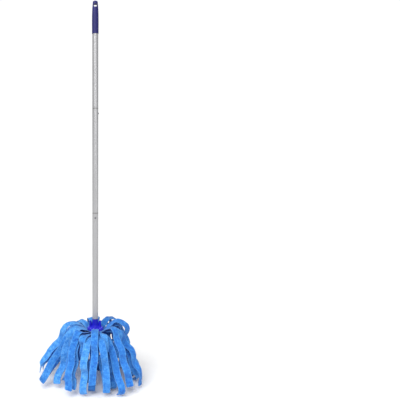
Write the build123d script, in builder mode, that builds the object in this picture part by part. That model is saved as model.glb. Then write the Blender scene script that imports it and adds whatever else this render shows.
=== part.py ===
from build123d import *
from math import cos, radians, sin
import os

# Strip mop with a three-section handle, standing on its splayed microfibre strips. Millimetres.
# The origin is on the pole's axis at the height of the floor, +Z points up the pole and -Y is
# the front. The handle is three tubes that plug into each other, each joint held by a sprung
# button. Its lower end carries a threaded tip that screws into the mop head's socket. The
# strips are clamped between the socket's flange and a plate below it.

# ---- handle ----
TUBE_R = 11.0            # outside radius of the handle tubes
TUBE_WALL = 0.8
UPPER_SEAM = 1022.0      # where the upper tube meets the middle tube
LOWER_SEAM = 634.0       # where the middle tube meets the lower tube
SPIGOT_LENGTH = 60.0     # the narrowed end of a tube that plugs into the next one
SPIGOT_GAP = 0.05        # radial play between a spigot and the tube around it
SPIGOT_LEAD = 1.5        # length of the spigot's tapered lead-in
SPIGOT_LEAD_DEPTH = 0.3

GRIP_BOTTOM = 1296.0
GRIP_TOP = 1416.0
GRIP_LIP_R = 11.8        # at the grip's foot
# The grip's side, as (radius, height above its foot), from the lip to the rounded end.
GRIP_SIDE = ((12.1, 1.5), (12.3, 46), (11.6, 83), (11.0, 95), (9.9, 108), (9.1, 116))
GRIP_CROWN_R = 5.5       # where the rounded end turns into the nearly flat crown
GRIP_CROWN_FALL = 0.6    # how much lower the crown's edge is than its middle
GRIP_BORE_TOP = 1384.0   # end of the bore that takes the tube
GRIP_BORE_SPARE = 1.0    # room left above the tube's end
GRIP_FIT = 0.03          # radial play between the grip and its tube

HANG_HOLE_Z = 1398.5     # centre of the hanging hole
HANG_HOLE_WIDTH = 11.0
HANG_HOLE_HEIGHT = 12.0
HANG_HOLE_CORNER = 3.0

# ---- snap buttons, each carried by a bent leaf spring ----
BUTTON_R = 3.2
BUTTON_PLAY = 0.08       # radial play between a button and its holes
BUTTON_STANDS_OUT = 2.0
BUTTON_EDGE_R = 1.5
BUTTON_BELOW_SEAM = 18.0
BUTTON_COLLAR_R = 4.2
BUTTON_COLLAR_THICK = 0.8
BUTTON_COLLAR_OUT = 8.2  # distance from the pole's axis to the collar's outer face
SPRING_THICK = 0.5
SPRING_WIDTH = 8.0
SPRING_LEG_END = 8.0     # how far the straight legs reach above and below the button
SPRING_BEND_DROP = 38.0  # how far the bend lies below the button
SPRING_BEND_HALF = 1.6
SPRING_BEND_R = 1.5
SPRING_FOOT_OUT = 8.1    # distance from the axis to the foot that rests on the far wall
SPRING_GAP = 0.05        # play between the leaf and the button's collar

# ---- threaded joint between handle and head ----
THREAD_PITCH = 5.0
THREAD_HEIGHT = 1.2      # how far a thread stands out of its wall
THREAD_GAP = 0.3         # play between one thread's crest and the other's root
THREAD_FOOT = 2.4        # width of a thread at its foot
THREAD_FLANK = 65.0      # angle of its flanks, in degrees
THREAD_SINK = 0.1        # how deep its foot is sunk in the wall
TIP_CORE_R = 7.9
TIP_BOTTOM = 212.0
TIP_CHAMFER = 1.2
TIP_PLUG_LENGTH = 30.0
TIP_TURNS = 3.4
SOCKET_TURNS = 1.6
THREAD_START = 215.0     # height at which the tip's thread begins
WASHER_R = 11.3
WASHER_THICK = 1.0
WASHER_GAP = 0.05        # play above and below the washer

# ---- socket ----
SOCKET_TOP = 235.0       # rim of the sleeve
SLEEVE_R = 11.5
FLANGE_R = 31.0
FLANGE_BOTTOM = 196.5
FLANGE_RIM = 2.5         # height of the flange's edge
DOME_TOP = 210.0
DOME_MIDDLE = (24.5, 203.6)  # a point on the dome between the edge and the sleeve
DOME_FOOT_RING = 1.0     # width of the step where the sleeve rises out of the dome
DOME_HOLLOW_R = 19.0
DOME_HOLLOW_TOP = 205.0
POST_R = 4.1
POST_X = 18.1
POST_TOP = 227.0
POST_HOLE_R = 2.3
POST_HOLE_DEPTH = 15.0
WEB_THICK = 2.6
WEB_TOP = 221.0

# ---- clamp plate and the pegs that hold it ----
PLATE_R = 28.0
PLATE_THICK = 3.0
PLATE_HOLE_R = 8.0
PEG_COUNT = 12
PEG_FIRST_AZIMUTH = 15.0
PEG_CIRCLE_R = 25.0
PEG_R = 1.6
PEG_PLAY = 0.2           # radial play of a peg in the plate, the strips and the flange
PEG_HEAD_R = 2.5
PEG_HEAD_HEIGHT = 3.1
PEG_HEAD_EDGE_R = 1.4
PEG_SEAT = 202.4         # floor of the pocket in the flange that takes the rounded head
PEG_SEAT_GAP = 0.1
PEG_FOOT_HEIGHT = 1.5    # height of the flat head under the plate

# ---- strips ----
STRIP_WIDTH = 26.0
STRIP_THICK = 1.4
STRIP_INNER_R = 16.0
STRIP_SECTOR_GAP = 0.4   # angle left free at each side of a strip's sector
LAYER_COUNT = 5
LAYER_GAP = 0.3
LAYER_TWIST = 9.0        # each layer is turned this much from the one above
STRIPS_PER_LAYER = 4
FIRST_STRIP_AZIMUTH = 22.5
TAIL_SPREAD = 45.0       # angle between neighbouring tails of one layer
ROOT_RING_R = FLANGE_R + 3   # inside this radius the strips are cut to their sectors
LEAN_LEFT = 0.035        # share by which the tuft reaches further to the left than to the right
NARROW_DEPTH = 0.18      # share by which it reaches less far to the front and the back

# For each layer, from the top: where its tails leave the level, their knee, where they reach
# the floor, and the radius of their bends.
TAIL_DROP_R = (96.0, 80.0, 66.0, 55.0, 45.0)
TAIL_KNEE_R = (163.0, 136.0, 111.0, 88.0, 67.0)
TAIL_KNEE_Z = (124.0, 118.0, 112.0, 106.0, 100.0)
TAIL_FLOOR_R = (187.0, 158.0, 130.0, 104.0, 80.0)
TAIL_BEND_R = (44.0, 32.0, 22.0, 15.0, 9.0)

# ---- derived dimensions ----
TUBE_BORE_R = TUBE_R - TUBE_WALL
SPIGOT_R = TUBE_BORE_R - SPIGOT_GAP
SPIGOT_BORE_R = SPIGOT_R - TUBE_WALL
TUBE_FOOT = SOCKET_TOP + WASHER_THICK
THREAD_BORE_R = TIP_CORE_R + THREAD_HEIGHT + THREAD_GAP
UPPER_BUTTON_Z = UPPER_SEAM - BUTTON_BELOW_SEAM
LOWER_BUTTON_Z = LOWER_SEAM - BUTTON_BELOW_SEAM
BUTTON_INNER_OUT = BUTTON_COLLAR_OUT - BUTTON_COLLAR_THICK
LAYER_PITCH = STRIP_THICK + LAYER_GAP
TOP_LAYER_Z = FLANGE_BOTTOM - LAYER_GAP - STRIP_THICK / 2
BOTTOM_LAYER_Z = TOP_LAYER_Z - (LAYER_COUNT - 1) * LAYER_PITCH
PLATE_TOP = BOTTOM_LAYER_Z - STRIP_THICK / 2 - LAYER_GAP
PLATE_BOTTOM = PLATE_TOP - PLATE_THICK
RIGHT = 0.0              # azimuths that the buttons face
FRONT = -90.0

os.makedirs("parts", exist_ok=True)


def save(piece, name):
    """Label a finished piece and write it as its own STEP file."""
    piece.label = name
    export_step(piece, f"parts/{name}.step")


def outward(azimuth):
    """The level direction away from the pole's axis at this azimuth, in degrees."""
    return (cos(radians(azimuth)), sin(radians(azimuth)), 0)


def upright_plane(azimuth):
    """The plane through the pole's axis whose x direction points outwards at this azimuth."""
    return Plane(origin=(0, 0, 0), x_dir=outward(azimuth), z_dir=outward(azimuth - 90))


def side_plane(azimuth, height):
    """The plane through the pole's axis at this height that faces this azimuth."""
    return Plane(origin=(0, 0, height), x_dir=(0, 0, 1), z_dir=outward(azimuth))


def peg_circles(radius, mode=Mode.ADD):
    """One circle at each peg, for the sketch that is open."""
    with PolarLocations(PEG_CIRCLE_R, PEG_COUNT, start_angle=PEG_FIRST_AZIMUTH):
        Circle(radius, mode=mode)


# ---- handle ----
def turned(outline):
    """A solid turned about the pole's axis from points given as (radius, height)."""
    with BuildPart() as piece:
        with BuildSketch(Plane.XZ):
            with BuildLine():
                Polyline(*outline, close=True)
            make_face()
        revolve(axis=Axis.Z)
    return piece.part


def drilled(piece, azimuth, height):
    """The same tube with one button hole through the wall that faces this azimuth."""
    with BuildPart() as tube:
        add(piece)
        with BuildSketch(side_plane(azimuth, height)):
            Circle(BUTTON_R + BUTTON_PLAY)
        extrude(amount=2 * TUBE_R, mode=Mode.SUBTRACT)
    return tube.part


def spigot_tube(seam, top):
    """A tube that stands on its seam and narrows below it to a spigot."""
    foot = seam - SPIGOT_LENGTH
    return turned([
        (SPIGOT_BORE_R, foot), (SPIGOT_R - SPIGOT_LEAD_DEPTH, foot),
        (SPIGOT_R, foot + SPIGOT_LEAD), (SPIGOT_R, seam),
        (TUBE_R, seam + TUBE_WALL), (TUBE_R, top), (TUBE_BORE_R, top),
        (TUBE_BORE_R, seam + 2 * TUBE_WALL), (SPIGOT_BORE_R, seam + TUBE_WALL),
    ])


def make_tubes():
    upper = spigot_tube(UPPER_SEAM, GRIP_BORE_TOP - GRIP_BORE_SPARE)
    save(drilled(upper, RIGHT, UPPER_BUTTON_Z), "upper_tube")

    middle = spigot_tube(LOWER_SEAM, UPPER_SEAM)
    middle = drilled(middle, RIGHT, UPPER_BUTTON_Z)
    save(drilled(middle, FRONT, LOWER_BUTTON_Z), "middle_tube")

    lower = turned([
        (TUBE_BORE_R, TUBE_FOOT), (TUBE_R, TUBE_FOOT),
        (TUBE_R, LOWER_SEAM), (TUBE_BORE_R, LOWER_SEAM),
    ])
    save(drilled(lower, FRONT, LOWER_BUTTON_Z), "lower_tube")


def make_grip():
    """A moulded sleeve that tapers to a rounded end with a hanging hole."""
    side_points = [(radius, GRIP_BOTTOM + height) for radius, height in GRIP_SIDE]
    with BuildPart() as grip:
        with BuildSketch(Plane.XZ):
            with BuildLine():
                foot = Line((0, GRIP_BOTTOM), (GRIP_LIP_R, GRIP_BOTTOM))
                Line(foot @ 1, side_points[0])
                side = Spline(*side_points)
                crown_edge = (GRIP_CROWN_R, GRIP_TOP - GRIP_CROWN_FALL)
                shoulder = TangentArc(side @ 1, crown_edge, tangent=side % 1)
                crown = Line(shoulder @ 1, (0, GRIP_TOP))
                Line(crown @ 1, foot @ 0)
            make_face()
        revolve(axis=Axis.Z)
        with BuildSketch(Plane.XY.offset(GRIP_BOTTOM)):
            Circle(TUBE_R + GRIP_FIT)
        extrude(amount=GRIP_BORE_TOP - GRIP_BOTTOM, mode=Mode.SUBTRACT)
        with BuildSketch(Plane.XZ):
            with Locations((0, HANG_HOLE_Z)):
                RectangleRounded(HANG_HOLE_WIDTH, HANG_HOLE_HEIGHT, HANG_HOLE_CORNER)
        extrude(amount=2 * TUBE_R, both=True, mode=Mode.SUBTRACT)
    save(grip.part, "grip")


def make_snap_button(name, azimuth, height):
    """A round-edged button with a collar that keeps it inside its tube."""
    side = side_plane(azimuth, height)
    with BuildPart() as button:
        with BuildSketch(side.offset(BUTTON_INNER_OUT)):
            Circle(BUTTON_R)
        extrude(amount=TUBE_R + BUTTON_STANDS_OUT - BUTTON_INNER_OUT)
        fillet(button.edges().sort_by(Axis(side.origin, side.z_dir))[-1], BUTTON_EDGE_R)
        with BuildSketch(side.offset(BUTTON_INNER_OUT)):
            Circle(BUTTON_COLLAR_R)
        extrude(amount=BUTTON_COLLAR_THICK)
    save(button.part, name)


def make_v_spring(name, azimuth, height):
    """A bent leaf: one leg carries the button, the other rests on the tube's far wall."""
    leg = BUTTON_INNER_OUT - SPRING_GAP - SPRING_THICK / 2
    top = height + SPRING_LEG_END
    knee = height - SPRING_LEG_END
    bend = height - SPRING_BEND_DROP
    with BuildPart() as spring:
        with BuildSketch(upright_plane(azimuth)):
            with BuildLine():
                FilletPolyline(
                    (leg, top), (leg, knee), (SPRING_BEND_HALF, bend), (-SPRING_BEND_HALF, bend),
                    (-SPRING_FOOT_OUT, knee), (-SPRING_FOOT_OUT, top), radius=SPRING_BEND_R,
                )
                offset(amount=SPRING_THICK / 2)
            make_face()
        extrude(amount=SPRING_WIDTH / 2, both=True)
    save(spring.part, name)


# ---- threaded joint ----
def thread(radius, foot, turns, outwards):
    """A helical ridge that starts at +X and this height on a wall of this radius."""
    with BuildPart() as ridge:
        with BuildLine():
            path = Helix(pitch=THREAD_PITCH, height=turns * THREAD_PITCH, radius=radius)
        with BuildSketch(Plane(origin=path @ 0, x_dir=(1, 0, 0), z_dir=path % 0)):
            Trapezoid(
                THREAD_FOOT, THREAD_HEIGHT + THREAD_SINK, THREAD_FLANK,
                rotation=-90 if outwards else 90, align=(Align.CENTER, Align.MIN),
            )
        sweep(path=path, is_frenet=True)
    return ridge.part.moved(Location((0, 0, foot)))


def make_threaded_tip():
    """The moulded end of the handle: a plug in the tube and a threaded nose below it."""
    with BuildPart() as tip:
        with BuildSketch(Plane.XY.offset(TIP_BOTTOM)):
            Circle(TIP_CORE_R)
        extrude(amount=TUBE_FOOT - TIP_BOTTOM)
        chamfer(tip.faces().sort_by(Axis.Z)[0].edges(), TIP_CHAMFER)
        with BuildSketch(Plane.XY.offset(TUBE_FOOT)):
            Circle(SPIGOT_R)
        extrude(amount=TIP_PLUG_LENGTH)
        add(thread(TIP_CORE_R - THREAD_SINK, THREAD_START, TIP_TURNS, outwards=True))
    save(tip.part, "threaded_tip")


def make_washer():
    """A thin soft ring between the handle's end and the socket's rim."""
    with BuildPart() as washer:
        with BuildSketch(Plane.XY.offset(SOCKET_TOP + WASHER_GAP)):
            Circle(WASHER_R)
            Circle(THREAD_BORE_R, mode=Mode.SUBTRACT)
        extrude(amount=WASHER_THICK - 2 * WASHER_GAP)
    save(washer.part, "tip_washer")


# ---- mop head ----
def make_socket():
    """Threaded sleeve on a domed flange, with a hollow post at each side."""
    rim_top = FLANGE_BOTTOM + FLANGE_RIM
    post_places = ((-POST_X, 0), (POST_X, 0))
    # Half a pitch above the tip's thread the two threads pass each other with even play. The
    # whole turn more lifts the socket's short thread to the middle of the sleeve.
    thread_foot = THREAD_START + 1.5 * THREAD_PITCH
    with BuildPart() as socket:
        with BuildSketch(Plane.XZ):
            with BuildLine():
                foot = Line((0, FLANGE_BOTTOM), (FLANGE_R, FLANGE_BOTTOM))
                rim = Line(foot @ 1, (FLANGE_R, rim_top))
                dome = ThreePointArc(rim @ 1, DOME_MIDDLE, (SLEEVE_R + DOME_FOOT_RING, DOME_TOP))
                Polyline(
                    dome @ 1, (SLEEVE_R, DOME_TOP + DOME_FOOT_RING), (SLEEVE_R, SOCKET_TOP),
                    (0, SOCKET_TOP), foot @ 0,
                )
            make_face()
        revolve(axis=Axis.Z)

        with BuildSketch(Plane.XY.offset(rim_top)):
            with Locations(*post_places):
                Circle(POST_R)
        extrude(amount=POST_TOP - rim_top)
        with BuildSketch(Plane.XY.offset(rim_top)):
            Rectangle(2 * POST_X, WEB_THICK)
        extrude(amount=WEB_TOP - rim_top)

        with BuildSketch(Plane.XY.offset(POST_TOP - POST_HOLE_DEPTH)):
            with Locations(*post_places):
                Circle(POST_HOLE_R)
        extrude(amount=POST_HOLE_DEPTH, mode=Mode.SUBTRACT)
        with BuildSketch(Plane.XY.offset(DOME_HOLLOW_TOP)):
            Circle(THREAD_BORE_R)
        extrude(amount=SOCKET_TOP - DOME_HOLLOW_TOP, mode=Mode.SUBTRACT)
        with BuildSketch(Plane.XZ):
            with BuildLine():
                Polyline(
                    (0, FLANGE_BOTTOM), (DOME_HOLLOW_R, FLANGE_BOTTOM),
                    (THREAD_BORE_R, DOME_HOLLOW_TOP), (0, DOME_HOLLOW_TOP), close=True,
                )
            make_face()
        revolve(axis=Axis.Z, mode=Mode.SUBTRACT)

        with BuildSketch(Plane.XY.offset(FLANGE_BOTTOM)):
            peg_circles(PEG_R + PEG_PLAY)
        extrude(amount=PEG_SEAT - FLANGE_BOTTOM, mode=Mode.SUBTRACT)
        with BuildSketch(Plane.XY.offset(PEG_SEAT)):
            peg_circles(PEG_HEAD_R + PEG_PLAY)
        extrude(amount=PEG_HEAD_HEIGHT, mode=Mode.SUBTRACT)
        add(thread(THREAD_BORE_R + THREAD_SINK, thread_foot, SOCKET_TURNS, outwards=False))
    save(socket.part, "socket")


def make_clamp_plate():
    """The ring under the strips that squeezes them against the flange."""
    with BuildPart() as plate:
        with BuildSketch(Plane.XY.offset(PLATE_BOTTOM)):
            Circle(PLATE_R)
            Circle(PLATE_HOLE_R, mode=Mode.SUBTRACT)
            peg_circles(PEG_R + PEG_PLAY, mode=Mode.SUBTRACT)
        extrude(amount=PLATE_THICK)
    save(plate.part, "clamp_plate")


def make_pegs():
    """The pegs that pin plate, strips and flange together, headed at both ends."""
    with BuildPart() as pegs:
        with BuildSketch(Plane.XY.offset(PEG_SEAT + PEG_SEAT_GAP)):
            peg_circles(PEG_HEAD_R)
        extrude(amount=PEG_HEAD_HEIGHT)
        fillet(pegs.edges().group_by(Axis.Z)[-1], PEG_HEAD_EDGE_R)
        with BuildSketch(Plane.XY.offset(PLATE_BOTTOM)):
            peg_circles(PEG_R)
        extrude(amount=PEG_SEAT + PEG_HEAD_HEIGHT / 2 - PLATE_BOTTOM)
        with BuildSketch(Plane.XY.offset(PLATE_BOTTOM - PEG_FOOT_HEIGHT)):
            peg_circles(PEG_HEAD_R)
        extrude(amount=PEG_FOOT_HEIGHT)
    save(pegs.part, "plate_pegs")


def tail_route(layer, azimuth):
    """Radius and height of one tail's middle line, from under the flange to the floor."""
    reach = 1 - LEAN_LEFT * cos(radians(azimuth)) - NARROW_DEPTH * sin(radians(azimuth)) ** 2
    level = TOP_LAYER_Z - layer * LAYER_PITCH
    return [
        (STRIP_INNER_R, level),
        (TAIL_DROP_R[layer], level),
        (TAIL_KNEE_R[layer] * reach, TAIL_KNEE_Z[layer]),
        (TAIL_FLOOR_R[layer] * reach, STRIP_THICK / 2),
    ]


def make_strip(number, layer, azimuth):
    """One strip of cloth, doubled over under the flange, with its two tails side by side."""
    half_sector = TAIL_SPREAD - STRIP_SECTOR_GAP
    sector = [
        tuple(2 * ROOT_RING_R * part for part in outward(azimuth + turn)[:2])
        for turn in (-half_sector, -half_sector / 3, half_sector / 3, half_sector)
    ]
    with BuildPart() as strip:
        for side in (-0.5, 0.5):
            tail_azimuth = azimuth + side * TAIL_SPREAD
            with BuildSketch(upright_plane(tail_azimuth)):
                with BuildLine():
                    FilletPolyline(*tail_route(layer, tail_azimuth), radius=TAIL_BEND_R[layer])
                    offset(amount=STRIP_THICK / 2)
                make_face()
            extrude(amount=STRIP_WIDTH / 2, both=True)
        # What lies near the flange is cut to the strip's own sector, clear of its neighbours.
        with BuildSketch(Plane.XY):
            Circle(ROOT_RING_R)
            with BuildLine():
                Polyline((0, 0), *sector, close=True)
            make_face(mode=Mode.SUBTRACT)
        extrude(amount=SOCKET_TOP, mode=Mode.SUBTRACT)
        with BuildSketch(Plane.XY.offset(PLATE_TOP)):
            Circle(STRIP_INNER_R)
            peg_circles(PEG_R + PEG_PLAY)
        extrude(amount=FLANGE_BOTTOM - PLATE_TOP, mode=Mode.SUBTRACT)
    save(strip.part, f"strip_{number:02d}")


def make_strips():
    for number in range(LAYER_COUNT * STRIPS_PER_LAYER):
        layer, place = divmod(number, STRIPS_PER_LAYER)
        azimuth = FIRST_STRIP_AZIMUTH + place * 360 / STRIPS_PER_LAYER + layer * LAYER_TWIST
        make_strip(number + 1, layer, azimuth)


make_tubes()
make_grip()
make_snap_button("upper_snap_button", RIGHT, UPPER_BUTTON_Z)
make_snap_button("lower_snap_button", FRONT, LOWER_BUTTON_Z)
make_v_spring("upper_v_spring", RIGHT, UPPER_BUTTON_Z)
make_v_spring("lower_v_spring", FRONT, LOWER_BUTTON_Z)
make_threaded_tip()
make_washer()
make_socket()
make_clamp_plate()
make_pegs()
make_strips()
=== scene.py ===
import math
import random

import bpy
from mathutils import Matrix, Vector


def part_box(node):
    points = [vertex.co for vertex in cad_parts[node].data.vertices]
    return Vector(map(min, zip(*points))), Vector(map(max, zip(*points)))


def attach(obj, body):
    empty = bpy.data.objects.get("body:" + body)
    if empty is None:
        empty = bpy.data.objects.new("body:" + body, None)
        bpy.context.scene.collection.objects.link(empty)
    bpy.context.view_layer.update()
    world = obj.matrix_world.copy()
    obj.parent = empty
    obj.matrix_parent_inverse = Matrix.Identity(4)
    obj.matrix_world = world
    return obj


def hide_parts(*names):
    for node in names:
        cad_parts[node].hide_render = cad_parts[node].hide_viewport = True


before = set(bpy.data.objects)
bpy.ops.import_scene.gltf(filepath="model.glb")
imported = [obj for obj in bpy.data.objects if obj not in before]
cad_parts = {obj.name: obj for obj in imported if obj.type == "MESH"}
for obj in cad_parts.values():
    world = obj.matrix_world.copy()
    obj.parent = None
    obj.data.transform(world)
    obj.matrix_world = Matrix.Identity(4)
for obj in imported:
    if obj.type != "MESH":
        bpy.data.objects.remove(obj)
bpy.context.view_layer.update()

# Strip mop, in metres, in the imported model's frame: the pole is the Z axis, the floor is z = 0
# and -Y is the front. The handle, socket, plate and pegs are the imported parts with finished
# materials. Each microfibre strip is rebuilt as a sheet of cloth and settled by simulation.

FLANGE_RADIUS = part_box("socket")[1].x
HANDLE_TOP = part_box("grip")[1].z
TUBE_SEAMS = [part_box(name)[1].z for name in ("middle_tube", "lower_tube")]

# ---- strips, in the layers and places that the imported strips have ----
STRIP_WIDTH = 0.026
TAIL_LENGTH = 0.278
TAIL_THICKNESS = 0.0025
ROOT_THICKNESS = 0.0013
ROOT_INNER_R = 0.016
LAYERS = 5
STRIPS_PER_LAYER = 4
STRIPS = LAYERS * STRIPS_PER_LAYER
TAIL_SPREAD = 45.0           # angle between a strip's two tails
LAYER_TWIST = 9.0            # angle from one layer's strips to the next layer's
FIRST_STRIP_AZIMUTH = 22.5
ROOT_SECTOR = 43.5           # angle that one tail's root fills under the flange

CLOTH_STEP = 0.0065          # length of one cloth square
TAIL_STEPS = round(TAIL_LENGTH / CLOTH_STEP)
COLUMNS = 5                  # points across a strip
SEED = 14


# =============================== materials ===============================
class Nodes:
    """A short way to build one procedural material."""

    def __init__(self, name):
        self.material = bpy.data.materials.new(name)
        self.material.use_nodes = True
        self.tree = self.material.node_tree
        self.shader = self.tree.nodes["Principled BSDF"]

    def add(self, kind, inputs=None, **settings):
        node = self.tree.nodes.new(kind)
        for key, value in settings.items():
            setattr(node, key, value)
        for key, value in (inputs or {}).items():
            self.feed(node, key, value)
        return node

    def feed(self, node, key, value):
        """Link an output socket to this input, or set its value."""
        if isinstance(value, bpy.types.NodeSocket):
            self.tree.links.new(value, node.inputs[key])
        else:
            node.inputs[key].default_value = value

    def place(self):
        """Where a point lies, in metres from the foot of the pole."""
        return self.add("ShaderNodeTexCoord").outputs["Object"]

    def axis(self, vector, name):
        return self.add("ShaderNodeSeparateXYZ", {"Vector": vector}).outputs[name]

    def stretched(self, x, y, z):
        """The place with each axis scaled: a small z draws a pattern out along the pole."""
        inputs = {"Vector": self.place(), "Scale": (x, y, z)}
        return self.add("ShaderNodeMapping", inputs).outputs["Vector"]

    def noise(self, vector, scale, detail=2.0, roughness=0.5):
        inputs = {"Vector": vector, "Scale": scale, "Detail": detail, "Roughness": roughness}
        return self.add("ShaderNodeTexNoise", inputs).outputs["Fac"]

    def ramp(self, fac, *stops):
        """A colour ramp through (position, grey or colour) stops."""
        node = self.add("ShaderNodeValToRGB", {"Fac": fac})
        while len(node.color_ramp.elements) < len(stops):
            node.color_ramp.elements.new(0.5)
        for element, (position, value) in zip(node.color_ramp.elements, stops):
            element.position = position
            element.color = (*value, 1) if isinstance(value, tuple) else (value, value, value, 1)
        return node.outputs["Color"]

    def mix(self, fac, a, b, blend="MIX"):
        node = self.add("ShaderNodeMix", data_type="RGBA", blend_type=blend)
        for socket, value in ((0, fac), (6, a), (7, b)):
            self.feed(node, socket, value)
        return node.outputs[2]

    def math(self, operation, a, b=0.0):
        return self.add("ShaderNodeMath", {0: a, 1: b}, operation=operation).outputs[0]

    def bump(self, height, strength, distance, normal=None):
        inputs = {"Height": height, "Strength": strength, "Distance": distance}
        if normal is not None:
            inputs["Normal"] = normal
        return self.add("ShaderNodeBump", inputs).outputs["Normal"]

    def finish(self, **inputs):
        for key, value in inputs.items():
            self.feed(self.shader, key.replace("_", " "), value)
        return self.material


def linear(red, green, blue):
    """A colour given in 0 to 255 display values, as linear light."""
    parts = [v / 255 for v in (red, green, blue)]
    return tuple(p / 12.92 if p <= 0.04045 else ((p + 0.055) / 1.055) ** 2.4 for p in parts)


def opaque(colour):
    return (*colour, 1)


# The microfibre's three blues, its dark hems (also painted shade in the gaps between strips), and how
# far each shade of strip differs from the middle.
CLOTH_DEEP = linear(18, 82, 182)
CLOTH_MIDDLE = linear(46, 130, 213)
CLOTH_PALE = linear(108, 180, 242)
CLOTH_HEM_AND_GAP_SHADE = linear(14, 58, 150)
CLOTH_SHADES = (-0.045, 0.0, 0.04)
SHADE_STRIDE = 7             # spreads the shades, so that neighbouring strips differ

# Painted shade on the tuft's inside, where little light reaches: a cone that widens downwards from
# the flange.
INSIDE_TOP = 0.190
INSIDE_TOP_RADIUS = 0.020
INSIDE_SLOPE = 0.46
INSIDE_BLEND = 0.030         # how far out the darkening fades
INSIDE_DARKNESS = 0.42

WORN_PLASTIC = linear(150, 155, 225)
NICKED_METAL = linear(130, 130, 134)
GRIME = linear(112, 110, 108)
GRIME_REACH = 0.0022         # how far a dark seam reaches along the tube


def inside_shade(n):
    """Painted shade: a factor that darkens the cloth that lies inside the tuft."""
    x, y, z = (n.axis(n.place(), axis) for axis in "XYZ")
    radius = n.math("SQRT", n.math("ADD", n.math("MULTIPLY", x, x), n.math("MULTIPLY", y, y)))
    below = n.math("SUBTRACT", INSIDE_TOP, z)
    inside_radius = n.math("ADD", n.math("MULTIPLY", below, INSIDE_SLOPE), INSIDE_TOP_RADIUS)
    outside = n.math("DIVIDE", n.math("SUBTRACT", radius, inside_radius), INSIDE_BLEND)
    return n.ramp(outside, (0.0, INSIDE_DARKNESS), (1.0, 1.0))


def microfibre(name, light):
    """Plush looped cloth: mottled blue with soft sheen, tiny loops with painted shade in their pits,
    paler rims, dark hems that double as painted shade between strips, and painted shade inside the
    tuft.
    """
    n = Nodes(name)
    place = n.place()
    across = n.axis(n.add("ShaderNodeUVMap", uv_map="cloth").outputs["UV"], "X")
    from_middle = n.math("ABSOLUTE", n.math("SUBTRACT", across, STRIP_WIDTH / 2))
    to_edge = n.math("DIVIDE", from_middle, STRIP_WIDTH / 2)
    rim = n.ramp(to_edge, (0.76, 0.0), (0.90, 1.0))
    hem_and_gap_shade = n.ramp(to_edge, (0.94, 0.0), (0.97, 1.0))

    blotches = n.noise(place, 90.0, detail=3.0, roughness=0.6)
    nap = n.noise(place, 420.0, detail=3.0, roughness=0.7)
    loops = n.add("ShaderNodeTexVoronoi", {"Vector": place, "Scale": 900.0}).outputs["Distance"]
    # painted shade in the pits of the tiny loops
    loop_pit_shade = n.ramp(loops, (0.0, 0.72), (0.55, 1.0))
    tone = n.math("ADD", n.math("MULTIPLY", blotches, 0.4), n.math("MULTIPLY", nap, 0.6))
    tone = n.math("ADD", tone, light)
    colour = n.ramp(tone, (0.33, CLOTH_DEEP), (0.5, CLOTH_MIDDLE), (0.67, CLOTH_PALE))
    colour = n.mix(n.math("MULTIPLY", rim, 0.55), colour, opaque(CLOTH_PALE))
    # dark hems, also painted shade in the gaps between strips
    colour = n.mix(n.math("MULTIPLY", hem_and_gap_shade, 0.75), colour, opaque(CLOTH_HEM_AND_GAP_SHADE))
    # painted shade on the cloth inside the tuft
    colour = n.mix(1.0, colour, inside_shade(n), blend="MULTIPLY")
    colour = n.mix(1.0, colour, loop_pit_shade, blend="MULTIPLY")

    relief = n.bump(blotches, 0.35, 0.002)
    relief = n.bump(nap, 0.55, 0.0012, relief)
    relief = n.bump(loops, 0.6, 0.0006, relief)
    rough = n.ramp(nap, (0.3, 0.86), (0.7, 0.98))
    n.feed(n.shader, "Sheen Weight", 0.2)
    n.feed(n.shader, "Sheen Roughness", 0.45)
    n.feed(n.shader, "Sheen Tint", (0.75, 0.88, 1.0, 1))
    return n.finish(Base_Color=colour, Roughness=rough, Normal=relief)


def moulded_plastic(name, dark, bright, roughness, grain):
    """Injection-moulded plastic with faint flow marks, handling scuffs and fine grain."""
    n = Nodes(name)
    flow = n.noise(n.stretched(1, 1, 0.25), 45.0, detail=4.0)
    scuffs = n.noise(n.stretched(1, 1, 0.15), 320.0, detail=4.0, roughness=0.75)
    skin = n.noise(n.place(), grain, detail=2.0)
    colour = n.ramp(flow, (0.3, dark), (0.7, bright))
    colour = n.mix(n.ramp(scuffs, (0.64, 0.0), (0.80, 0.07)), colour, opaque(WORN_PLASTIC))
    rough = n.ramp(scuffs, (0.35, roughness), (0.75, roughness + 0.16))
    relief = n.bump(skin, 0.12, 0.0002, n.bump(flow, 0.05, 0.0006))
    n.feed(n.shader, "Specular IOR Level", 0.5)
    return n.finish(Base_Color=colour, Roughness=rough, Normal=relief)


def grimy_seam(n, colour, seam):
    """Darkens a narrow band of the tube round the height of a seam."""
    away = n.math("ABSOLUTE", n.math("SUBTRACT", n.axis(n.place(), "Z"), seam))
    near = n.ramp(n.math("DIVIDE", away, GRIME_REACH), (0.3, 0.75), (1.0, 0.0))
    return n.mix(near, colour, opaque(GRIME))


def satin_metal(name, dark, bright, roughness, brushing=0.01, metallic=0.75, seams=()):
    """Metal with fine brushing along the pole, faint smudges, small scratches and grimy seams."""
    n = Nodes(name)
    lines = n.noise(n.stretched(1, 1, brushing), 2600.0, detail=3.0, roughness=0.7)
    smudges = n.noise(n.stretched(1, 1, 0.35), 28.0, detail=4.0, roughness=0.6)
    nicks = n.noise(n.stretched(1, 1, 0.06), 420.0, detail=2.0)
    colour = n.ramp(lines, (0.3, dark), (0.7, bright))
    colour = n.mix(n.ramp(nicks, (0.72, 0.0), (0.80, 0.22)), colour, opaque(NICKED_METAL))
    for seam in seams:
        colour = grimy_seam(n, colour, seam)
    rough = n.ramp(smudges, (0.35, roughness - 0.05), (0.7, roughness + 0.10))
    relief = n.bump(lines, 0.03, 0.0001, n.bump(nicks, 0.03, 0.0002))
    n.feed(n.shader, "Metallic", metallic)
    return n.finish(Base_Color=colour, Roughness=rough, Normal=relief)


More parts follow.
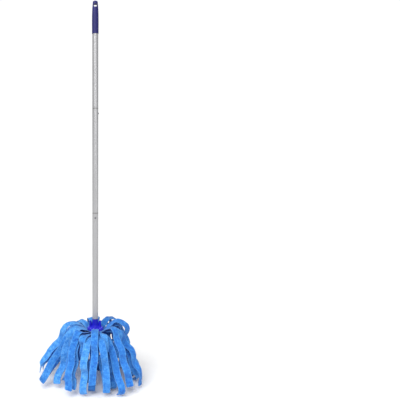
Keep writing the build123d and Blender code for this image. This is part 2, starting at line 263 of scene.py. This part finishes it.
def soft_rubber(name):
    """Dark soft rubber with fine dust in its surface."""
    n = Nodes(name)
    dust = n.noise(n.place(), 260.0, detail=4.0)
    colour = n.ramp(dust, (0.35, linear(18, 18, 52)), (0.75, linear(48, 48, 92)))
    rough = n.ramp(dust, (0.3, 0.62), (0.8, 0.85))
    return n.finish(Base_Color=colour, Roughness=rough, Normal=n.bump(dust, 0.3, 0.0003))


def studio_floor(name):
    """Matt white with a faint uneven tone."""
    n = Nodes(name)
    grain = n.noise(n.place(), 18.0, detail=5.0)
    colour = n.ramp(grain, (0.3, 0.95), (0.7, 0.97))
    return n.finish(Base_Color=colour, Roughness=n.ramp(grain, (0.3, 0.82), (0.7, 0.9)))


def dress_cad_nodes():
    """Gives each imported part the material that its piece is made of."""
    socket = moulded_plastic("socket_blue", linear(14, 10, 158), linear(34, 34, 200), 0.28, 1500.0)
    # The pegs' paler blue is a painted highlight, standing for the lit spots on their heads; their
    # gloss is real.
    pegs = moulded_plastic("peg_blue_painted_highlight", linear(70, 72, 215), linear(110, 112, 240), 0.22, 1500.0)
    grip = moulded_plastic("grip_blue", linear(6, 6, 78), linear(12, 13, 94), 0.5, 1800.0)
    tube = satin_metal("tube_satin", linear(168, 168, 170), linear(184, 184, 186), 0.40,
                       seams=TUBE_SEAMS)
    steel = satin_metal("button_steel", linear(92, 92, 98), linear(140, 140, 146), 0.3,
                        brushing=1, metallic=1.0)
    rubber = soft_rubber("washer_rubber")
    looks = {
        "socket": socket, "clamp_plate": socket, "plate_pegs": pegs,
        "grip": grip, "threaded_tip": grip,
        "upper_tube": tube, "middle_tube": tube, "lower_tube": tube,
        "upper_snap_button": steel, "lower_snap_button": steel,
        "upper_v_spring": steel, "lower_v_spring": steel,
        "tip_washer": rubber,
    }
    for name, material in looks.items():
        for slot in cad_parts[name].material_slots:
            slot.material = material


# =============================== the tuft before it settles ===============================
# How the outer tails hang, by the azimuth that they leave at (-90 faces the front, 0 the right).
# "out" is how far a tail runs before its shoulder, "lift" the angle that it rises at there,
# "wave" how far its slope swings about the mean further down, and "tip_z" where its tip ends.
HANG = {
    -90: {"out": 0.040, "lift": 5.0, "wave": 24.0, "tip_z": -0.006},
    -45: {"out": 0.038, "lift": 12.0, "wave": 24.0, "tip_z": -0.006},
    0: {"out": 0.054, "lift": 19.0, "wave": 22.0, "tip_z": 0.010},
    45: {"out": 0.050, "lift": 15.0, "wave": 20.0, "tip_z": 0.010},
    90: {"out": 0.042, "lift": 20.0, "wave": 18.0, "tip_z": 0.000},
    135: {"out": 0.026, "lift": 25.0, "wave": 5.0, "tip_z": 0.055},
    180: {"out": 0.024, "lift": 25.0, "wave": 5.0, "tip_z": 0.032},
    225: {"out": 0.040, "lift": 16.0, "wave": 20.0, "tip_z": -0.004},
}
SIDES = sorted(HANG)
SIDE_STEP = 360 / len(SIDES)
SHOULDER = 0.060             # length of tail that a shoulder takes
LEAST_OUT = 0.010
LAYER_DRAWS_IN = (0.0, 0.003, 0.006, 0.009, 0.013)   # how much sooner each layer turns down
LIFT_STARTS = 0.012          # length over which a tail starts to rise
LIFT_ENDS = 0.3              # where the rise starts to fade, as a share of "out"
WAVE_STARTS = 0.02           # how far along a tail its waves start
WAVE_GROWS = 0.05            # length over which they grow
WAVE_LENGTH = 0.095
WAVE_TURNS = 3.0             # how many times the waves' phase goes round with the azimuth
STEEPEST, SHALLOWEST = -93.0, -25.0                  # bounds of the slope at a tip, in degrees
SLOPE_HALVINGS = 20          # how closely that slope is solved

# How a tail turns: its face to the front, its way down towards the middle, and both by chance.
FACE_FRONT = 50.0            # most that a side tail turns its face towards the front, in degrees
TO_FRONT = 12.0              # most that the front tails crowd towards the middle, in degrees
SWAY = 3.0                   # most that a tail turns sideways on its way down, in degrees
TWIST = 16.0                 # most that a tail turns about its own length by chance, in degrees
SWAY_STARTS = 0.1            # where the turning starts, as shares of the tail
TWIST_STARTS, TWIST_TAKES = 0.05, 0.45

# The most that chance adds or takes away.
OUT_VARIES = 0.005
LIFT_VARIES = 0.35           # as a share of the lift
WAVE_VARIES = 0.4            # as a share of the wave
PHASE_VARIES = 0.9
LENGTH_VARIES = 0.2          # as a share of the wave length


def smooth(x):
    """0 to 1 with a soft start and end."""
    x = min(1.0, max(0.0, x))
    return x * x * (3 - 2 * x)


def by_side(azimuth, key):
    """A HANG value blended between the two azimuths that this one lies between."""
    place = (azimuth - SIDES[0]) % 360 / SIDE_STEP
    before = int(place)
    after = (before + 1) % len(SIDES)
    share = smooth(place - before)
    return (1 - share) * HANG[SIDES[before]][key] + share * HANG[SIDES[after]][key]


def across(middle, wide):
    """One row of points across a strip."""
    return [middle + wide * STRIP_WIDTH * (c / (COLUMNS - 1) - 0.5) for c in range(COLUMNS)]


class Tail:
    """One tail before it settles: up out of the flange, over a shoulder, then down to its tip."""

    def __init__(self, layer, azimuth, root_z, rng):
        self.azimuth = azimuth
        self.root_z = root_z
        self.out = by_side(azimuth, "out") + OUT_VARIES * rng.uniform(-1, 1)
        self.lift = by_side(azimuth, "lift") * (1 + LIFT_VARIES * rng.uniform(-1, 1))
        self.wave = by_side(azimuth, "wave") * (1 + WAVE_VARIES * rng.uniform(-1, 1))
        self.phase = WAVE_TURNS * math.radians(azimuth) + PHASE_VARIES * rng.uniform(-1, 1)
        self.wave_length = WAVE_LENGTH * (1 + LENGTH_VARIES * rng.uniform(-1, 1))
        self.sway = SWAY * rng.uniform(-1, 1)
        from_front = (azimuth + 270) % 360 - 180
        if abs(from_front) < 90:
            self.sway -= TO_FRONT * math.sin(math.radians(2 * from_front))
        self.twist = TWIST * rng.uniform(-1, 1)
        self.twist += FACE_FRONT * math.cos(math.radians(azimuth))
        self.end = self.solve_end(by_side(azimuth, "tip_z"))
        self.out = max(LEAST_OUT, self.out - LAYER_DRAWS_IN[layer])

    def slope(self, along, end):
        """The angle above level at a length along the tail, in degrees."""
        fading = smooth((along - LIFT_ENDS * self.out) / self.out)
        rise = self.lift * smooth(along / LIFT_STARTS) * (1 - fading)
        fall = end * smooth((along - self.out) / SHOULDER)
        wave = self.wave * math.sin(2 * math.pi * along / self.wave_length + self.phase)
        return rise + fall + wave * smooth((along - WAVE_STARTS) / WAVE_GROWS)

    def solve_end(self, tip_z):
        """The slope at the tip that lets the tail end at a chosen height."""
        steep, shallow = STEEPEST, SHALLOWEST
        for _ in range(SLOPE_HALVINGS):
            end = (steep + shallow) / 2
            z = self.root_z
            for i in range(TAIL_STEPS):
                z += CLOTH_STEP * math.sin(math.radians(self.slope(i * CLOTH_STEP, end)))
            steep, shallow = (end, shallow) if z < tip_z else (steep, end)
        return end

    def rows(self):
        """Rows of points across the cloth, from the flange to the tip."""
        start = math.radians(self.azimuth)
        x = FLANGE_RADIUS * math.cos(start)
        y = FLANGE_RADIUS * math.sin(start)
        z = self.root_z
        rows = []
        for i in range(TAIL_STEPS + 1):
            share = i / TAIL_STEPS
            sway = self.sway * smooth((share - SWAY_STARTS) / (1 - SWAY_STARTS))
            azimuth = math.radians(self.azimuth + sway)
            slope = math.radians(self.slope(i * CLOTH_STEP, self.end))
            out = Vector((math.cos(azimuth), math.sin(azimuth), 0))
            side = Vector((-math.sin(azimuth), math.cos(azimuth), 0))
            face = out * -math.sin(slope) + Vector((0, 0, math.cos(slope)))
            turn = math.radians(self.twist) * smooth((share - TWIST_STARTS) / TWIST_TAKES)
            rows.append(across(Vector((x, y, z)), side * math.cos(turn) + face * math.sin(turn)))
            x += CLOTH_STEP * math.cos(slope) * out.x
            y += CLOTH_STEP * math.cos(slope) * out.y
            z += CLOTH_STEP * math.sin(slope)
        return rows


class TuftMesh:
    """All strips in one mesh for the simulation, with what each point and face belongs to."""

    def __init__(self):
        self.points, self.faces, self.pinned = [], [], []
        self.uvs, self.strip_of_face = [], []

    def add_row(self, row, along, pinned):
        """Adds points across a strip, or across two side by side, and returns their numbers."""
        numbers = list(range(len(self.points), len(self.points) + len(row)))
        for column, point in enumerate(row):
            self.points.append(point)
            self.uvs.append((STRIP_WIDTH * column / (COLUMNS - 1), along))
        if pinned:
            self.pinned.extend(numbers)
        return numbers

    def join_rows(self, upper, lower, strip):
        for corners in zip(upper, upper[1:], lower[1:], lower):
            self.faces.append(corners)
            self.strip_of_face.append(strip)


def root_row(azimuth, radius, height):
    """Points round the pole under the flange, where a strip's two tails join."""
    row = []
    for side in (-0.5, 0.5):
        middle = azimuth + side * TAIL_SPREAD
        for column in range(COLUMNS):
            turn = math.radians(middle + ROOT_SECTOR * (column / (COLUMNS - 1) - 0.5))
            row.append(Vector((radius * math.cos(turn), radius * math.sin(turn), height)))
    return row


def add_strip(tuft, strip, layer, azimuth, rng):
    """A strip's root under the flange and the two tails that leave it."""
    root_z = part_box(f"strip_{strip + 1:02d}")[1].z - ROOT_THICKNESS / 2
    root = []
    for radius in (ROOT_INNER_R, (ROOT_INNER_R + FLANGE_RADIUS) / 2):
        row = root_row(azimuth, radius, root_z)
        root.append(tuft.add_row(row, radius - FLANGE_RADIUS, pinned=True))
    tuft.join_rows(root[0], root[1], strip)
    for number, side in enumerate((-0.5, 0.5)):
        tail = Tail(layer, azimuth + side * TAIL_SPREAD, root_z, rng)
        above = root[1][number * COLUMNS:(number + 1) * COLUMNS]
        for i, row in enumerate(tail.rows()):
            below = tuft.add_row(row, i * CLOTH_STEP, pinned=i < 2)
            tuft.join_rows(above, below, strip)
            above = below


def lay_out_tuft():
    rng = random.Random(SEED)
    tuft = TuftMesh()
    for strip in range(STRIPS):
        layer, place = divmod(strip, STRIPS_PER_LAYER)
        azimuth = FIRST_STRIP_AZIMUTH + place * 360 / STRIPS_PER_LAYER + layer * LAYER_TWIST
        add_strip(tuft, strip, layer, azimuth, rng)
    return tuft


# =============================== the simulation ===============================
# It runs at ten times the size, where the solver's distances suit cloth. The bending stiffness
# keeps the laid-out arches and waves while the tails part from each other and from the floor.
SIM_SCALE = 10.0
RISE_FRAMES = 14
LAST_FRAME = 28
FLOOR_START_GAP = 0.05       # how far below the lowest tip the floor starts, at the larger size
FLOOR_END = -0.005           # and where it stops
FLOOR_CONTACT = {"thickness_outer": 0.01, "cloth_friction": 80, "damping": 0.6}
CLOTH_SETTINGS = {
    "quality": 5, "mass": 0.05, "air_damping": 2,
    "tension_stiffness": 30, "compression_stiffness": 30, "shear_stiffness": 15,
    "tension_damping": 10, "compression_damping": 10, "shear_damping": 10,
    "bending_model": "ANGULAR", "bending_stiffness": 260, "bending_damping": 1,
    "vertex_group_mass": "pinned",
}
CLOTH_GRAVITY = 0.4
CLOTH_CONTACT = {
    "collision_quality": 2, "distance_min": 0.012,
    "use_self_collision": True, "self_distance_min": 0.021, "self_friction": 10,
}

# How far the settled tails may reach from the pole: past the first value of each pair they're
# drawn in smoothly, so that none passes the second.
REACH = {
    "left": (0.185, 0.214),
    "right": (0.140, 0.185),
    "front": (0.110, 0.150),
    "back": (0.130, 0.168),
}


def apply(settings, target):
    for key, value in settings.items():
        setattr(target, key, value)


def rising_floor(lowest):
    """A plane that comes up under the tails and stops at the floor's height."""
    bpy.ops.mesh.primitive_plane_add(size=2 * SIM_SCALE)
    floor = bpy.context.object
    floor.modifiers.new("collide", "COLLISION")
    apply(FLOOR_CONTACT, floor.collision)
    for frame_number, height in ((1, lowest - FLOOR_START_GAP), (RISE_FRAMES, FLOOR_END)):
        floor.location.z = height
        floor.keyframe_insert("location", frame=frame_number)
    return floor


def hanging_cloth(tuft):
    mesh = bpy.data.meshes.new("tuft_cloth")
    mesh.from_pydata([p * SIM_SCALE for p in tuft.points], [], tuft.faces)
    cloth = bpy.data.objects.new("tuft_cloth", mesh)
    bpy.context.scene.collection.objects.link(cloth)
    cloth.vertex_groups.new(name="pinned").add(tuft.pinned, 1.0, "REPLACE")
    return cloth


def settle(tuft):
    """Lets the cloth hang while the floor comes up under it, and returns where its points rest."""
    scene = bpy.context.scene
    cloth = hanging_cloth(tuft)
    floor = rising_floor(min(p.z for p in tuft.points) * SIM_SCALE)
    solver = cloth.modifiers.new("cloth", "CLOTH")
    apply(CLOTH_SETTINGS, solver.settings)
    solver.settings.effector_weights.gravity = CLOTH_GRAVITY
    apply(CLOTH_CONTACT, solver.collision_settings)
    solver.point_cache.frame_start = scene.frame_start = 1
    solver.point_cache.frame_end = scene.frame_end = LAST_FRAME
    for frame_number in range(1, LAST_FRAME + 1):
        scene.frame_set(frame_number)
    settled = cloth.evaluated_get(bpy.context.evaluated_depsgraph_get()).to_mesh()
    points = [v.co / SIM_SCALE for v in settled.vertices]
    scene.frame_set(1)
    for helper in (cloth, floor):
        bpy.data.objects.remove(helper)
    return points


def draw_in(value, minus, plus):
    """Pulls one coordinate back inside its reach on the side of the pole that it's on."""
    free, most = REACH[plus] if value > 0 else REACH[minus]
    past = abs(value) - free
    if past <= 0:
        return value
    room = most - free
    return math.copysign(free + room * math.tanh(past / room), value)


def within_reach(point):
    return Vector((draw_in(point.x, "left", "right"), draw_in(point.y, "front", "back"), point.z))


# =============================== the strips ===============================
THICKENS_OVER = 0.05         # length of tail over which the squeezed root gains its thickness


def strip_mesh(tuft, points, strip):
    """One strip's part of the tuft, and the tuft's number for each of its points."""
    faces = [f for f, s in zip(tuft.faces, tuft.strip_of_face) if s == strip]
    used = sorted({i for f in faces for i in f})
    index = {old: new for new, old in enumerate(used)}
    mesh = bpy.data.meshes.new(f"microfibre_strip_{strip + 1:02d}")
    mesh.from_pydata([points[i] for i in used], [], [[index[i] for i in f] for f in faces])
    layer = mesh.uv_layers.new(name="cloth")
    for loop in mesh.loops:
        layer.data[loop.index].uv = tuft.uvs[used[loop.vertex_index]]
    for polygon in mesh.polygons:
        polygon.use_smooth = True
    return mesh, used


def strip_object(tuft, points, strip, material):
    """One strip as a plush sheet with thickness and rounded edges."""
    mesh, used = strip_mesh(tuft, points, strip)
    mesh.materials.append(material)
    piece = bpy.data.objects.new(mesh.name, mesh)
    bpy.context.scene.collection.objects.link(piece)

    full = piece.vertex_groups.new(name="full")
    for new, old in enumerate(used):
        full.add([new], smooth(tuft.uvs[old][1] / THICKENS_OVER), "REPLACE")
    finer = piece.modifiers.new("finer", "SUBSURF")
    finer.levels = finer.render_levels = 1
    thick = piece.modifiers.new("thick", "SOLIDIFY")
    thick.thickness = TAIL_THICKNESS
    thick.offset = 0
    thick.vertex_group = "full"
    thick.thickness_vertex_group = ROOT_THICKNESS / TAIL_THICKNESS
    rounded = piece.modifiers.new("rounded", "SUBSURF")
    rounded.levels = rounded.render_levels = 1
    return piece


def make_strips():
    tuft = lay_out_tuft()
    points = settle(tuft)
    points = [within_reach(p) for p in points]
    shades = [microfibre(f"microfibre_{i}", light) for i, light in enumerate(CLOTH_SHADES)]
    for strip in range(STRIPS):
        shade = shades[strip * SHADE_STRIDE % len(shades)]
        piece = strip_object(tuft, points, strip, shade)
        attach(piece, "mop_head")
        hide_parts(f"strip_{strip + 1:02d}")


# =============================== studio ===============================
EYE_HEIGHT = 0.800
EYE_DISTANCE = 1.70
# Where things stand in the square picture, as shares of it from the top and the left.
TOP_AT = 0.0025              # the handle's top
FLOOR_AT = 0.95              # the floor under the pole
POLE_AT = 0.23825
SHIFT_DOWN = 0.04            # how far the view is shifted, on top of its tilt
SENSOR = 36.0
SHORTEST, LONGEST = 0.25, 5.0   # bounds of the focal length, in picture widths
FOCAL_HALVINGS = 40

BACKDROP = 1.04              # how bright the backdrop looks
WORLD_POWER = 0.42           # how strongly it lights the mop
SUN_POWER = 2.95
SUN_ANGLE = 50
SUN_PLACE = (-1.2, -2.0, 2.6)
FILL_POWER = 8
FILL_SIZE = 1.6
FILL_PLACE = (1.8, -1.8, 1.2)
STRIP_LIGHT_POWER = 4
STRIP_LIGHT_SIZE = (0.45, 0.9)
STRIP_LIGHT_PLACE = (-0.1, -1.5, 1.45)
TUFT_TARGET = (0, 0, 0.25)
HANDLE_TARGET = (0, 0, 1.2)
FLOOR_SIZE = 60


def solve_focal(above, below, angle):
    """The focal length, in picture widths, that fits an angle between two heights in the picture."""
    short, long = SHORTEST, LONGEST
    for _ in range(FOCAL_HALVINGS):
        focal = (short + long) / 2
        seen = math.atan(above / focal) + math.atan(below / focal)
        short, long = (focal, long) if seen > angle else (short, focal)
    return focal


def make_camera():
    """A camera that sees the handle's top and the floor where the photograph has them."""
    rise = math.atan((HANDLE_TOP - EYE_HEIGHT) / EYE_DISTANCE)
    fall = math.atan(EYE_HEIGHT / EYE_DISTANCE)
    centre = 0.5 - SHIFT_DOWN
    above, below = centre - TOP_AT, FLOOR_AT - centre
    focal = solve_focal(above, below, rise + fall)
    tilt = math.atan(above / focal) - rise
    camera = bpy.data.cameras.new("camera")
    camera.sensor_width = SENSOR
    camera.lens = focal * SENSOR
    camera.shift_x = 0.5 - POLE_AT
    camera.shift_y = -SHIFT_DOWN
    camera.clip_start, camera.clip_end = 0.05, 50
    holder = bpy.data.objects.new("camera", camera)
    holder.location = (0, -EYE_DISTANCE, EYE_HEIGHT)
    holder.rotation_euler = (math.pi / 2 - tilt, 0, 0)
    bpy.context.scene.collection.objects.link(holder)
    bpy.context.scene.camera = holder


def place_light(light, place, target):
    holder = bpy.data.objects.new(light.name, light)
    holder.location = place
    holder.rotation_mode = "QUATERNION"
    holder.rotation_quaternion = (Vector(target) - Vector(place)).to_track_quat("-Z", "Y")
    bpy.context.scene.collection.objects.link(holder)


def make_lights():
    """A broad sun from the upper left, a fill for the right side and a sheen on the handle."""
    sun = bpy.data.lights.new("sun", "SUN")
    sun.energy = SUN_POWER
    sun.angle = math.radians(SUN_ANGLE)
    place_light(sun, SUN_PLACE, (0, 0, 0))
    fill = bpy.data.lights.new("fill", "AREA")
    fill.shape = "DISK"
    fill.size = FILL_SIZE
    fill.energy = FILL_POWER
    place_light(fill, FILL_PLACE, TUFT_TARGET)
    strip = bpy.data.lights.new("strip", "AREA")
    strip.shape = "RECTANGLE"
    strip.size, strip.size_y = STRIP_LIGHT_SIZE
    strip.energy = STRIP_LIGHT_POWER
    place_light(strip, STRIP_LIGHT_PLACE, HANDLE_TARGET)


def make_world():
    """A white backdrop that lights the mop less than it shows, so that its folds keep their shade."""
    world = bpy.data.worlds.new("studio")
    world.use_nodes = True
    tree = world.node_tree
    backdrop = tree.nodes["Background"]
    glow = tree.nodes.new("ShaderNodeBackground")
    for shader, strength in ((backdrop, BACKDROP), (glow, WORLD_POWER)):
        shader.inputs["Color"].default_value = (1, 1, 1, 1)
        shader.inputs["Strength"].default_value = strength
    seen = tree.nodes.new("ShaderNodeLightPath").outputs["Is Camera Ray"]
    both = tree.nodes.new("ShaderNodeMixShader")
    for place, source in enumerate((seen, glow.outputs[0], backdrop.outputs[0])):
        tree.links.new(source, both.inputs[place])
    tree.links.new(both.outputs[0], tree.nodes["World Output"].inputs["Surface"])
    bpy.context.scene.world = world


def make_studio():
    bpy.ops.mesh.primitive_plane_add(size=FLOOR_SIZE)
    floor = bpy.context.object
    floor.name = "studio_floor"
    floor.data.materials.append(studio_floor("studio_floor"))
    make_world()
    make_lights()
    bpy.context.scene.view_settings.view_transform = "Standard"


dress_cad_nodes()
make_strips()
make_studio()
make_camera()
